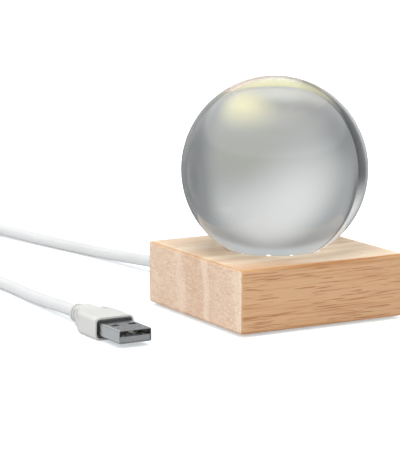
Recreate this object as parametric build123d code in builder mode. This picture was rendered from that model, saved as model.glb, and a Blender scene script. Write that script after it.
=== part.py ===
from build123d import *
import os
from math import cos, pi, radians, sin, sqrt, tan

os.makedirs("parts", exist_ok=True)

# Crystal ball lamp: a solid glass ball rests in the mouth of a lit well in a square wooden block,
# fed by a white cable with a USB plug.
# Lengths are in millimetres. The origin lies under the middle of the block, on the surface that
# the lamp stands on. +X runs along the grain, +Y points to the back, where the cable leaves, and
# +Z points up.

# Driving dimensions

# Wooden block, as wide as its ball, with rubber feet, and the overrun of every cut
block_height = 22.0
block_edge_radius = 1.2
foot_height = 1.0
foot_radius = 3.5
foot_edge_radius = 0.3
foot_inset = 8.3
cut_overrun = 1.0

# Glass ball and the bevel that it rests on, whose angle is that of the ball's surface there
ball_radius = 32.5
seat_angle = radians(32)
seat_width = 1.2
seat_gap = 0.2

# Pocket under the well, with a ledge round the well for the board, and the cover that closes it
ledge_width = 5.9
pocket_depth = 10.6
cover_margin = 3.7
cover_thickness = 1.8
cover_corner_radius = 4.0
cover_gap = 0.2

# Circuit board with its light-emitting diodes and resistors
board_gap = 0.9
board_thickness = 1.2
led_spacing = 11.0
led_side = 5.0
led_height = 1.5
led_corner_radius = 0.4
phosphor_radius = 1.9
phosphor_depth = 0.5
phosphor_sink = 0.1
resistor_length = 3.2
resistor_width = 1.6
resistor_height = 0.6
resistor_spacing = 15.0
solder_radius = 1.3
solder_height = 0.7
solder_edge_radius = 0.4
solder_spacing = 5.2

# Screws: head, shank and the play round a shank
board_screw_head_radius = 1.7
board_screw_head_height = 1.1
board_screw_radius = 0.9
board_screw_length = 6.0
board_screw_inset = 2.3
board_screw_count = 3
cover_screw_head_radius = 2.2
cover_screw_head_height = 0.95
cover_screw_radius = 1.1
cover_screw_length = 7.0
cover_screw_wall = 3.8
clamp_screw_head_radius = 1.6
clamp_screw_head_height = 1.0
clamp_screw_radius = 0.8
clamp_screw_length = 4.0
screw_recess_width = 0.5
screw_recess_depth = 0.5
screw_play = 0.05

# Cable, its way into the block, its clamp and its two wires
cable_diameter = 4.4
cable_exit_height = 5.8
cable_play = 0.05
cable_pocket_run = 10.0
grommet_radius = 3.15
grommet_length = 6.0
grommet_flange_radius = 4.5
grommet_flange_thickness = 1.0
grommet_edge_radius = 0.4
clamp_pocket_inset = 7.0
clamp_width = 5.0
clamp_strap_thickness = 0.9
clamp_wing_thickness = 1.2
clamp_span = 16.0
clamp_screw_spacing = 11.6
pillar_radius = 1.9
pillar_height = 2.2
cradle_width = 4.0
wire_diameter = 1.1
wire_spacing = 1.8
wire_straight_run = 3.0
wire_slant_run = 4.0
wire_first_bend_radius = 1.0
wire_second_bend_radius = 1.2

# Coil of put-away cable: loops at a steady pitch, in two layers, held by a tie
coil_middle_radius = 24.2
coil_turn_gap = 0.5
coil_quarter_turns = 22
coil_centre_x = -64.4
coil_centre_y = 204.6
coil_start_bearing = 20.0
coil_lead_run = 24.0
coil_tail_run = 20.0
tie_width = 5.0
tie_thickness = 0.7
tie_corner_radius = 2.4
tie_gap = 0.5
tie_floor_gap = 0.1

# Plug: moulded body, shell, tongue, contacts and wires
plug_x = -69.0
plug_rear_y = 15.4
plug_length = 42.0
plug_body_length = 27.4
plug_body_width = 14.4
plug_body_height = 7.6
plug_edge_radius = 1.5
plug_neck_diameter = 6.6
plug_neck_length = 4.5
plug_neck_groove_width = 0.8
plug_neck_groove_depth = 0.45
plug_neck_groove_setback = 1.1
plug_neck_groove_pitch = 1.7
plug_neck_groove_count = 2
plug_flare_length = 11.5
plug_scoop_length = 8.5
plug_scoop_depth = 0.55
plug_scoop_width = 8.4
plug_scoop_setback = 6.2
mouth_recess_depth = 2.4
mouth_recess_side_gap = 0.7
mouth_recess_top_gap = 0.95
shell_width = 12.0
shell_height = 4.5
shell_wall = 0.3
shell_corner_radius = 0.6
shell_length = 19.4
shell_play = 0.03
window_side = 2.6
window_spacing = 6.3
window_setback = 8.5
tongue_thickness = 1.85
tongue_setback = 0.3
tongue_block_length = 7.0
tongue_play = 0.05
contact_width = 1.1
contact_thickness = 0.16
contact_spacing = 2.5
contact_setback = 1.3
inner_contact_extra_setback = 1.0
contact_count = 4
core_width = 9.0
core_height = 3.2
core_length = 6.0
core_wire_spacing = 3.0

# Heights and places that follow from them
block_side = 2 * ball_radius
half_side = block_side / 2
block_bottom = foot_height
block_top = block_bottom + block_height
seat_radius = ball_radius * sin(seat_angle)
well_radius = seat_radius - seat_width / 2
mouth_radius = seat_radius + seat_width / 2
bevel_depth = seat_width * tan(seat_angle)
ball_level = (
    block_top - bevel_depth / 2 + seat_gap / cos(seat_angle) + ball_radius * cos(seat_angle)
)
pocket_radius = well_radius + ledge_width
cover_side = block_side - 2 * cover_margin
board_radius = pocket_radius - board_gap
board_top = block_bottom + pocket_depth
board_underside = board_top - board_thickness
board_screw_circle_radius = board_radius - board_screw_inset
cover_top = block_bottom + cover_thickness
cable_radius = cable_diameter / 2
cable_level = block_bottom + cable_exit_height
cable_inner_end = pocket_radius - cable_pocket_run
clamp_place = pocket_radius - clamp_pocket_inset
solder_place = cable_inner_end - wire_straight_run - wire_slant_run
foot_place = half_side - foot_inset
cover_screw_place = (pocket_radius + cover_screw_wall) / sqrt(2)


def corner_radii(points):
    """The largest tangent arcs that the runs of a route allow: 0.45 of the shorter run beside each
    corner, divided by the tangent of half the turn there."""
    radii = []
    for before, corner, after in zip(points, points[1:], points[2:]):
        run_in = Vector(*corner) - Vector(*before)
        run_out = Vector(*after) - Vector(*corner)
        half_turn = radians(run_in.get_angle(run_out)) / 2
        radii.append(0.45 * min(run_in.length, run_out.length) / tan(half_turn))
    return radii


def report_tube(name, part, path, radii=()):
    """Print a tube's length, its volume against its section times its length, and its bends."""
    length = path.length
    share = part.volume / (pi * cable_radius**2 * length)
    bends = ", ".join(f"{radius:.0f}" for radius in radii)
    print(f"{name}: length {length:.1f} mm, volume {share:.4f} of section times length; radii {bends}")


# Wooden block: a well from above, a pocket and a cover's rebate from below, and holes for screws
# and for the cable
with BuildPart() as wood_base:
    with BuildSketch(Plane.XY.offset(block_bottom)):
        Rectangle(block_side, block_side)
    extrude(amount=block_height)
    fillet(wood_base.edges(), radius=block_edge_radius)
    with BuildSketch(Plane.XZ):
        with BuildLine():
            Polyline(
                (0, board_top - cut_overrun),
                (well_radius, board_top - cut_overrun),
                (well_radius, block_top - bevel_depth),
                (mouth_radius, block_top),
                (mouth_radius, block_top + cut_overrun),
                (0, block_top + cut_overrun),
                close=True,
            )
        make_face()
    revolve(axis=Axis.Z, mode=Mode.SUBTRACT)
    with BuildSketch(Plane.XY.offset(block_bottom)):
        Circle(pocket_radius)
    extrude(amount=pocket_depth, mode=Mode.SUBTRACT)
    with BuildSketch(Plane.XY.offset(block_bottom)):
        RectangleRounded(
            cover_side + 2 * cover_gap,
            cover_side + 2 * cover_gap,
            cover_corner_radius + cover_gap,
        )
    extrude(amount=cover_thickness, mode=Mode.SUBTRACT)
    with BuildSketch(Plane.XY.offset(cover_top)):
        with GridLocations(2 * cover_screw_place, 2 * cover_screw_place, 2, 2):
            Circle(cover_screw_radius + screw_play)
    extrude(amount=cover_screw_length, mode=Mode.SUBTRACT)
    with BuildSketch(Plane.XY.offset(board_top)):
        with PolarLocations(board_screw_circle_radius, board_screw_count, start_angle=-90):
            Circle(board_screw_radius + screw_play)
    extrude(amount=board_screw_length, mode=Mode.SUBTRACT)
    with BuildSketch(Plane(origin=(0, half_side, cable_level), x_dir=(-1, 0, 0), z_dir=(0, 1, 0))):
        Circle(grommet_radius + cable_play)
    extrude(amount=-(half_side - pocket_radius + grommet_radius), mode=Mode.SUBTRACT)
wood_base.part.label = "wood_base"
export_step(wood_base.part, "parts/wood_base.step")

# Glass ball
with BuildPart(Plane.XY.offset(ball_level)) as crystal_ball:
    Sphere(ball_radius)
crystal_ball.part.label = "crystal_ball"
export_step(crystal_ball.part, "parts/crystal_ball.step")

# Round circuit board, screwed up against the pocket's ceiling
with BuildPart() as led_board:
    with BuildSketch(Plane.XY.offset(board_underside)):
        Circle(board_radius)
        with PolarLocations(board_screw_circle_radius, board_screw_count, start_angle=-90):
            Circle(board_screw_radius + screw_play, mode=Mode.SUBTRACT)
    extrude(amount=board_thickness)
led_board.part.label = "led_board"
export_step(led_board.part, "parts/led_board.step")

# Diodes: white packages, each with a cup, and the phosphor that fills the cup
with BuildPart() as led_packages:
    with BuildSketch(Plane.XY.offset(board_top)):
        with GridLocations(led_spacing, led_spacing, 2, 2):
            RectangleRounded(led_side, led_side, led_corner_radius)
    extrude(amount=led_height)
    with BuildSketch(Plane.XY.offset(board_top + led_height)):
        with GridLocations(led_spacing, led_spacing, 2, 2):
            Circle(phosphor_radius)
    extrude(amount=-phosphor_depth, mode=Mode.SUBTRACT)
led_packages.part.label = "led_packages"
export_step(led_packages.part, "parts/led_packages.step")

with BuildPart() as led_phosphors:
    with BuildSketch(Plane.XY.offset(board_top + led_height - phosphor_depth)):
        with GridLocations(led_spacing, led_spacing, 2, 2):
            Circle(phosphor_radius)
    extrude(amount=phosphor_depth - phosphor_sink)
led_phosphors.part.label = "led_phosphors"
export_step(led_phosphors.part, "parts/led_phosphors.step")

# Two resistors on the board's underside
with BuildPart() as resistors:
    with BuildSketch(Plane.XY.offset(board_underside)):
        with GridLocations(resistor_spacing, 0, 2, 1):
            Rectangle(resistor_length, resistor_width)
    extrude(amount=-resistor_height)
resistors.part.label = "resistors"
export_step(resistors.part, "parts/resistors.step")

# Solder joints where the wires meet the board
with BuildPart() as solder_joints:
    with BuildSketch(Plane.XY.offset(board_underside)):
        with Locations((-solder_spacing / 2, solder_place), (solder_spacing / 2, solder_place)):
            Circle(solder_radius)
    extrude(amount=-solder_height)
    fillet(solder_joints.faces().group_by(Axis.Z)[0].edges(), radius=solder_edge_radius)
solder_joints.part.label = "solder_joints"
export_step(solder_joints.part, "parts/solder_joints.step")


def screw(head_radius, head_height, shank_radius, shank_length):
    """One screw with its head's seat at the origin and its shank along +Z: a round head with a
    cross recess below, and a shank with a conical point."""
    with BuildPart() as fastener:
        with BuildSketch(Plane.XZ):
            with BuildLine():
                Polyline(
                    (0, -head_height),
                    (head_radius - head_height / 3, -head_height),
                    (head_radius, -2 * head_height / 3),
                    (head_radius, 0),
                    (shank_radius, 0),
                    (shank_radius, shank_length - 2 * shank_radius),
                    (0, shank_length),
                    close=True,
                )
            make_face()
        revolve(axis=Axis.Z)
        with BuildSketch(Plane.XY.offset(-head_height)):
            Rectangle(head_radius, screw_recess_width)
            Rectangle(screw_recess_width, head_radius)
        extrude(amount=screw_recess_depth, mode=Mode.SUBTRACT)
    return fastener.part


# Screws that hold the board, with their heads under it
board_screw = screw(
    board_screw_head_radius,
    board_screw_head_height,
    board_screw_radius,
    board_thickness + board_screw_length - screw_play,
)
with BuildPart() as board_screws:
    with Locations(Location((0, 0, board_underside))):
        with PolarLocations(board_screw_circle_radius, board_screw_count, start_angle=-90):
            add(board_screw)
board_screws.part.label = "board_screws"
export_step(board_screws.part, "parts/board_screws.step")

# Rubber grommet in the back of the block: a sleeve with a flange outside
back_plane = Plane(origin=(0, half_side, cable_level), x_dir=(-1, 0, 0), z_dir=(0, 1, 0))
with BuildPart() as cable_grommet:
    with BuildSketch(back_plane):
        Circle(grommet_flange_radius)
    extrude(amount=grommet_flange_thickness)
    fillet(cable_grommet.edges().sort_by(Axis.Y)[-1], radius=grommet_edge_radius)
    with BuildSketch(back_plane):
        Circle(grommet_radius)
    extrude(amount=-grommet_length)
    with BuildSketch(back_plane.offset(grommet_flange_thickness)):
        Circle(cable_radius + cable_play)
    extrude(amount=-(grommet_length + grommet_flange_thickness), mode=Mode.SUBTRACT)
cable_grommet.part.label = "cable_grommet"
export_step(cable_grommet.part, "parts/cable_grommet.step")

# The cable's end inside the block
with BuildPart() as cable_inner:
    with BuildSketch(back_plane):
        Circle(cable_radius)
    extrude(amount=cable_inner_end - half_side)
cable_inner.part.label = "cable_inner"
export_step(cable_inner.part, "parts/cable_inner.step")


def wire_route(side):
    """Corners of one wire's route, forward out of the jacket, apart, and up to its solder joint;
    side is -1 or 1."""
    return [
        (side * wire_spacing / 2, cable_inner_end, cable_level),
        (side * wire_spacing / 2, cable_inner_end - wire_straight_run, cable_level),
        (side * solder_spacing / 2, solder_place, cable_level),
        (side * solder_spacing / 2, solder_place, board_underside - solder_height),
    ]


# Two wires from the cable's end to the board
with BuildPart() as lead_red:
    with BuildLine() as red_line:
        FilletPolyline(*wire_route(1), radius=[wire_first_bend_radius, wire_second_bend_radius])
    with BuildSketch(Plane(origin=red_line.line @ 0, z_dir=red_line.line % 0)):
        Circle(wire_diameter / 2)
    sweep()
lead_red.part.label = "lead_red"
export_step(lead_red.part, "parts/lead_red.step")

with BuildPart() as lead_black:
    with BuildLine() as black_line:
        FilletPolyline(*wire_route(-1), radius=[wire_first_bend_radius, wire_second_bend_radius])
    with BuildSketch(Plane(origin=black_line.line @ 0, z_dir=black_line.line % 0)):
        Circle(wire_diameter / 2)
    sweep()
lead_black.part.label = "lead_black"
export_step(lead_black.part, "parts/lead_black.step")

# Saddle that clamps the cable to the cover: an arch over the cable with two wings
clamp_underside = cover_top + pillar_height
clamp_bore_radius = cable_radius + cable_play
clamp_arch_radius = clamp_bore_radius + clamp_strap_thickness
with BuildPart() as cable_clamp:
    with BuildSketch(Plane.XZ.offset(-(clamp_place + clamp_width / 2))):
        with Locations((0, cable_level)):
            Circle(clamp_arch_radius)
        with Locations((0, (cable_level + clamp_underside) / 2)):
            Rectangle(2 * clamp_arch_radius, cable_level - clamp_underside)
        with Locations((0, clamp_underside + clamp_wing_thickness / 2)):
            Rectangle(clamp_span, clamp_wing_thickness)
        with Locations((0, cable_level)):
            Circle(clamp_bore_radius, mode=Mode.SUBTRACT)
        with Locations((0, (cable_level + block_bottom) / 2)):
            Rectangle(2 * clamp_bore_radius, cable_level - block_bottom, mode=Mode.SUBTRACT)
    extrude(amount=clamp_width)
    split(bisect_by=Plane.XY.offset(clamp_underside))
    with BuildSketch(Plane.XY.offset(clamp_underside)):
        with Locations((-clamp_screw_spacing / 2, clamp_place), (clamp_screw_spacing / 2, clamp_place)):
            Circle(clamp_screw_radius + screw_play)
    extrude(amount=clamp_wing_thickness, mode=Mode.SUBTRACT)
cable_clamp.part.label = "cable_clamp"
export_step(cable_clamp.part, "parts/cable_clamp.step")

clamp_screw = screw(
    clamp_screw_head_radius,
    clamp_screw_head_height,
    clamp_screw_radius,
    clamp_screw_length,
)
clamp_screw_level = clamp_underside + clamp_wing_thickness
with BuildPart() as clamp_screws:
    with Locations(
        Location((-clamp_screw_spacing / 2, clamp_place, clamp_screw_level), (180, 0, 0)),
        Location((clamp_screw_spacing / 2, clamp_place, clamp_screw_level), (180, 0, 0)),
    ):
        add(clamp_screw)
clamp_screws.part.label = "clamp_screws"
export_step(clamp_screws.part, "parts/clamp_screws.step")

# Bottom cover, flush in its rebate, with two pillars and a cradle for the clamp
with BuildPart() as bottom_cover:
    with BuildSketch(Plane.XY.offset(block_bottom)):
        RectangleRounded(cover_side, cover_side, cover_corner_radius)
    extrude(amount=cover_thickness)
    with BuildSketch(Plane.XY.offset(cover_top)):
        with Locations((-clamp_screw_spacing / 2, clamp_place), (clamp_screw_spacing / 2, clamp_place)):
            Circle(pillar_radius)
    extrude(amount=pillar_height)
    with BuildSketch(Plane.XY.offset(cover_top)):
        with Locations((0, clamp_place)):
            Rectangle(cradle_width, clamp_width)
    extrude(amount=cable_level - clamp_bore_radius - cover_top)
    with BuildSketch(Plane.XY.offset(clamp_underside)):
        with Locations((-clamp_screw_spacing / 2, clamp_place), (clamp_screw_spacing / 2, clamp_place)):
            Circle(clamp_screw_radius + screw_play)
    extrude(amount=-(clamp_screw_length - clamp_wing_thickness + screw_play), mode=Mode.SUBTRACT)
    with BuildSketch(Plane.XY.offset(block_bottom)):
        with GridLocations(2 * cover_screw_place, 2 * cover_screw_place, 2, 2):
            Circle(cover_screw_radius + screw_play)
    extrude(amount=cover_thickness, mode=Mode.SUBTRACT)
    with BuildSketch(Plane.XY.offset(block_bottom)):
        with GridLocations(2 * cover_screw_place, 2 * cover_screw_place, 2, 2):
            Circle(cover_screw_head_radius + screw_play)
    extrude(amount=cover_screw_head_height, mode=Mode.SUBTRACT)
bottom_cover.part.label = "bottom_cover"
export_step(bottom_cover.part, "parts/bottom_cover.step")

cover_screw = screw(
    cover_screw_head_radius,
    cover_screw_head_height,
    cover_screw_radius,
    cover_screw_length,
)
with BuildPart() as cover_screws:
    with Locations(Location((0, 0, block_bottom + cover_screw_head_height))):
        with GridLocations(2 * cover_screw_place, 2 * cover_screw_place, 2, 2):
            add(cover_screw)
cover_screws.part.label = "cover_screws"
export_step(cover_screws.part, "parts/cover_screws.step")

# Rubber feet under the cover's corners
with BuildPart() as rubber_feet:
    with BuildSketch():
        with GridLocations(2 * foot_place, 2 * foot_place, 2, 2):
            Circle(foot_radius)
    extrude(amount=foot_height)
    fillet(rubber_feet.faces().group_by(Axis.Z)[0].edges(), radius=foot_edge_radius)
rubber_feet.part.label = "rubber_feet"
export_step(rubber_feet.part, "parts/rubber_feet.step")

# Coil: the winding spirals in at a steady pitch, climbs a layer in the half turn where it
# reverses, and spirals out again on top
coil_pitch = cable_diameter + coil_turn_gap
coil_angle = 90 * coil_quarter_turns
coil_reach = coil_pitch * coil_angle / 720
coil_inner_radius = coil_middle_radius - coil_reach / 2
coil_outer_radius = coil_middle_radius + coil_reach / 2
coil_level = tie_thickness + tie_floor_gap + cable_radius


def coil_place(angle):
    """A point of the coil's centreline, angle degrees along the winding from its lower end."""
    past_middle = angle - coil_angle / 2
    radius = coil_inner_radius + coil_pitch * abs(past_middle) / 360
    climb_turn = pi * min(max(past_middle / 180 + 1 / 2, 0), 1)
    bearing = radians(coil_start_bearing + angle)
    return Vector(
        coil_centre_x + radius * cos(bearing),
        coil_centre_y + radius * sin(bearing),
        coil_level + coil_pitch * (1 - cos(climb_turn)) / 2,
    )


def coil_direction(angle):
    """The winding's direction there, between the points a degree to each side."""
    return (coil_place(angle + 1) - coil_place(angle - 1)).normalized()


def biarc_joint(start, start_direction, end, end_direction):
    """Where two arcs meet that leave start and reach end along the given directions."""
    span = end - start
    along = span.dot(start_direction + end_direction)
    spread = 2 * (1 - start_direction.dot(end_direction))
    reach = (sqrt(along**2 + spread * span.dot(span)) - along) / spread
    return (start + start_direction * reach + end - end_direction * reach) * (1 / 2)


coil_start = coil_place(0)
coil_start_direction = coil_direction(0)
coil_end = coil_place(coil_angle)
coil_end_direction = coil_direction(coil_angle)
coil_lead_face = coil_start - coil_start_direction * cable_diameter
coil_tail_face = coil_end + coil_end_direction * cable_diameter

with BuildPart() as cable_coil:
    with BuildLine() as coil_line:
        Line(coil_lead_face, coil_start)
        for quarter in range(coil_quarter_turns):
            here, there = coil_place(90 * quarter), coil_place(90 * (quarter + 1))
            leaving, arriving = coil_direction(90 * quarter), coil_direction(90 * (quarter + 1))
            joint = biarc_joint(here, leaving, there, arriving)
            first = TangentArc(here, joint, tangent=leaving)
            TangentArc(joint, there, tangent=first % 1)
        Line(coil_end, coil_tail_face)
    with BuildSketch(Plane(origin=coil_line.line @ 0, z_dir=coil_line.line % 0)):
        Circle(cable_radius)
    sweep()
cable_coil.part.label = "cable_coil"
export_step(cable_coil.part, "parts/cable_coil.step")
report_tube("cable_coil", cable_coil.part, coil_line.wire())

# The coil's least gap to itself, measured between points more than a third of a turn apart
coil_steps = 36 * coil_quarter_turns
coil_points = [coil_place(coil_angle * step / coil_steps) for step in range(coil_steps + 1)]
steps_apart = coil_steps * 120 // coil_angle
least_gap = min(
    (coil_points[one] - coil_points[other]).length
    for one in range(len(coil_points))
    for other in range(one + steps_apart, len(coil_points), 2)
)
print(f"cable_coil: least gap to itself {least_gap - cable_diameter:.2f} mm")

# Free cable from the grommet to the coil: off the block's back, down to the surface and along it
lead_points = [
    (0, half_side, cable_level),
    (0, 50.0, cable_level),
    (-3.0, 76.0, 4.9),
    (-5.8, 103.0, 3.2),
    (-9.6, 131.0, 2.3),
    (-15.6, 160.0, 2.4),
    tuple(coil_lead_face - coil_start_direction * coil_lead_run),
    tuple(coil_lead_face),
]
lead_radii = corner_radii(lead_points)
with BuildPart() as cable_lead:
    with BuildLine() as lead_line:
        FilletPolyline(*lead_points, radius=lead_radii)
    with BuildSketch(Plane(origin=lead_line.line @ 0, z_dir=lead_line.line % 0)):
        Circle(cable_radius)
    sweep()
cable_lead.part.label = "cable_lead"
export_step(cable_lead.part, "parts/cable_lead.step")
report_tube("cable_lead", cable_lead.part, lead_line.wire(), lead_radii)

# Free cable from the coil to the plug: down off the coil's upper layer and along the surface
plug_level = plug_body_height / 2
tail_points = [
    tuple(coil_tail_face),
    tuple(coil_tail_face + coil_end_direction * coil_tail_run),
    (-78.4, 148.0, 5.7),
    (-71.9, 124.0, 3.1),
    (-67.4, 100.0, 2.3),
    (-66.4, 76.0, 2.25),
    (-67.8, 51.0, 2.3),
    (plug_x, 27.5, plug_level),
    (plug_x, plug_rear_y, plug_level),
]
tail_radii = corner_radii(tail_points)
with BuildPart() as cable_tail:
    with BuildLine() as tail_line:
        FilletPolyline(*tail_points, radius=tail_radii)
    with BuildSketch(Plane(origin=tail_line.line @ 0, z_dir=tail_line.line % 0)):
        Circle(cable_radius)
    sweep()
cable_tail.part.label = "cable_tail"
export_step(cable_tail.part, "parts/cable_tail.step")
report_tube("cable_tail", cable_tail.part, tail_line.wire(), tail_radii)
free_length = lead_line.wire().length + coil_line.wire().length + tail_line.wire().length
print(f"cable outside the block: {free_length:.0f} mm")
print("coil lead face", coil_lead_face, "direction", coil_start_direction)
print("coil tail face", coil_tail_face, "direction", coil_end_direction)

# Tie round the coil, a quarter turn past its lower end, where the two layers lie in step
tie_inner_side = coil_inner_radius + coil_pitch / 2 - cable_radius - tie_gap
tie_outer_side = coil_outer_radius - coil_pitch / 4 + cable_radius + tie_gap
tie_opening_height = 2 * cable_radius + coil_pitch + tie_floor_gap + tie_gap
tie_bearing = radians(coil_start_bearing + 90)
tie_radial = Vector(cos(tie_bearing), sin(tie_bearing), 0)
tie_along = Vector(-sin(tie_bearing), cos(tie_bearing), 0)
tie_middle = Vector(coil_centre_x, coil_centre_y, tie_thickness + tie_opening_height / 2) + tie_radial * (
    (tie_inner_side + tie_outer_side) / 2
)
with BuildPart() as coil_tie:
    with BuildSketch(Plane(origin=tie_middle, x_dir=tie_radial, z_dir=tie_along)):
        RectangleRounded(
            tie_outer_side - tie_inner_side + 2 * tie_thickness,
            tie_opening_height + 2 * tie_thickness,
            tie_corner_radius + tie_thickness,
        )
        RectangleRounded(
            tie_outer_side - tie_inner_side,
            tie_opening_height,
            tie_corner_radius,
            mode=Mode.SUBTRACT,
        )
    extrude(amount=tie_width / 2, both=True)
coil_tie.part.label = "coil_tie"
export_step(coil_tie.part, "parts/coil_tie.step")

# Plug: its mouth points to -Y, and its body lies on the surface
plug_tip_y = plug_rear_y - plug_length
plug_body_front_y = plug_rear_y - plug_body_length
shell_rear_y = plug_tip_y + shell_length
neck_radius = plug_neck_diameter / 2
tip_plane = Plane(origin=(plug_x, plug_tip_y, plug_level), x_dir=(-1, 0, 0), z_dir=(0, 1, 0))
body_plane = Plane(origin=(plug_x, plug_body_front_y, plug_level), x_dir=(-1, 0, 0), z_dir=(0, 1, 0))
rear_plane = Plane(origin=(plug_x, plug_rear_y, plug_level), x_dir=(-1, 0, 0), z_dir=(0, 1, 0))
scoop_y = plug_rear_y - plug_scoop_setback - plug_scoop_length / 2
scoop_plane = Plane(origin=(plug_x, scoop_y, plug_body_height), x_dir=(0, 1, 0), z_dir=(1, 0, 0))
scoop_radius = (plug_scoop_length**2 / 4 + plug_scoop_depth**2) / (2 * plug_scoop_depth)


def plug_outline(side):
    """One side of the body seen from above: straight, then an S of two arcs in to the neck."""
    wide = side * plug_body_width / 2
    narrow = side * neck_radius
    flare_start = plug_body_length - plug_neck_length - plug_flare_length
    flare_end = plug_body_length - plug_neck_length
    middle = ((wide + narrow) / 2, (flare_start + flare_end) / 2)
    straight = Line((wide, 0), (wide, flare_start))
    TangentArc(straight @ 1, middle, tangent=(0, 1))
    TangentArc((narrow, flare_end), middle, tangent=(0, -1))
    return flare_end


with BuildPart() as plug_overmould:
    with BuildSketch(Plane(origin=(plug_x, plug_body_front_y, 0), x_dir=(1, 0, 0), z_dir=(0, 0, 1))):
        with BuildLine():
            plug_outline(-1)
            body_end = plug_outline(1)
            Line((-plug_body_width / 2, 0), (plug_body_width / 2, 0))
            Line((-neck_radius, body_end), (neck_radius, body_end))
        make_face()
    extrude(amount=plug_body_height)
    flat_edges = plug_overmould.faces().filter_by(Axis.Z).edges()
    fillet(flat_edges.filter_by(Axis.X, reverse=True), radius=plug_edge_radius)
    with BuildSketch(rear_plane):
        Circle(neck_radius)
    extrude(amount=-(plug_neck_length + plug_edge_radius))
    for number in range(plug_neck_groove_count):
        groove_setback = plug_neck_groove_setback + number * plug_neck_groove_pitch
        with BuildSketch(rear_plane.offset(-groove_setback)):
            Circle(neck_radius)
            Circle(neck_radius - plug_neck_groove_depth, mode=Mode.SUBTRACT)
        extrude(amount=-plug_neck_groove_width, mode=Mode.SUBTRACT)
    with BuildSketch(scoop_plane):
        with Locations((0, scoop_radius - plug_scoop_depth)):
            Circle(scoop_radius)
    extrude(amount=plug_scoop_width / 2, both=True, mode=Mode.SUBTRACT)
    with BuildSketch(body_plane):
        RectangleRounded(
            shell_width + 2 * mouth_recess_side_gap,
            shell_height + 2 * mouth_recess_top_gap,
            shell_corner_radius + mouth_recess_side_gap,
        )
    extrude(amount=mouth_recess_depth, mode=Mode.SUBTRACT)
    with BuildSketch(body_plane):
        RectangleRounded(shell_width + 2 * shell_play, shell_height + 2 * shell_play, shell_corner_radius)
    extrude(amount=shell_rear_y - plug_body_front_y, mode=Mode.SUBTRACT)
    with BuildSketch(tip_plane.offset(shell_length)):
        Rectangle(core_width, core_height)
    extrude(amount=core_length, mode=Mode.SUBTRACT)
plug_overmould.part.label = "plug_overmould"
export_step(plug_overmould.part, "parts/plug_overmould.step")

# Sheet-metal shell with two square windows in its top
with BuildPart() as plug_shell:
    with BuildSketch(tip_plane):
        RectangleRounded(shell_width, shell_height, shell_corner_radius)
        RectangleRounded(
            shell_width - 2 * shell_wall,
            shell_height - 2 * shell_wall,
            shell_corner_radius - shell_wall,
            mode=Mode.SUBTRACT,
        )
    extrude(amount=shell_length)
    with BuildSketch(Plane.XY.offset(plug_level + shell_height / 2)):
        with Locations(
            (plug_x - window_spacing / 2, plug_tip_y + window_setback),
            (plug_x + window_spacing / 2, plug_tip_y + window_setback),
        ):
            Rectangle(window_side, window_side)
    extrude(amount=-2 * shell_wall, mode=Mode.SUBTRACT)
plug_shell.part.label = "plug_shell"
export_step(plug_shell.part, "parts/plug_shell.step")

# Tongue: a slab on the shell's floor, with a full-height block at its rear; their outer edges follow
# the shell's inner corners
shell_floor = plug_level - shell_height / 2 + shell_wall
tongue_width = shell_width - 2 * shell_wall - 2 * tongue_play
tongue_edge_radius = shell_corner_radius - shell_wall - tongue_play
tongue_top = shell_floor + tongue_play + tongue_thickness
with BuildPart() as plug_tongue:
    with BuildSketch(Plane.XY.offset(shell_floor + tongue_play)):
        with Locations((plug_x, (plug_tip_y + tongue_setback + shell_rear_y) / 2)):
            Rectangle(tongue_width, shell_length - tongue_setback)
    extrude(amount=tongue_thickness)
    with BuildSketch(Plane.XY.offset(shell_floor + tongue_play)):
        with Locations((plug_x, shell_rear_y - tongue_block_length / 2)):
            Rectangle(tongue_width, tongue_block_length)
    extrude(amount=shell_height - 2 * shell_wall - 2 * tongue_play)
    long_edges = plug_tongue.edges().filter_by(Axis.Y).group_by(Axis.Z)
    fillet(long_edges[0] + long_edges[-1], radius=tongue_edge_radius)
plug_tongue.part.label = "plug_tongue"
export_step(plug_tongue.part, "parts/plug_tongue.step")

# Contacts on the tongue: the outer two reach further forward
tongue_block_front_y = shell_rear_y - tongue_block_length
with BuildPart() as plug_contacts:
    with BuildSketch(Plane.XY.offset(tongue_top)):
        for number in range(contact_count):
            outer = number in (0, contact_count - 1)
            front_y = plug_tip_y + tongue_setback + contact_setback
            if not outer:
                front_y += inner_contact_extra_setback
            place_x = plug_x + contact_spacing * (number - (contact_count - 1) / 2)
            with Locations((place_x, (front_y + tongue_block_front_y) / 2)):
                Rectangle(contact_width, tongue_block_front_y - front_y)
    extrude(amount=contact_thickness)
plug_contacts.part.label = "plug_contacts"
export_step(plug_contacts.part, "parts/plug_contacts.step")

# Wires in the plug's core, from the cable to the tongue's rear block
with BuildPart() as plug_wires:
    with BuildSketch(tip_plane.offset(shell_length)):
        with Locations((-core_wire_spacing / 2, 0), (core_wire_spacing / 2, 0)):
            Circle(wire_diameter / 2)
    extrude(amount=core_length)
plug_wires.part.label = "plug_wires"
export_step(plug_wires.part, "parts/plug_wires.step")
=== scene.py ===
import math

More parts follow.
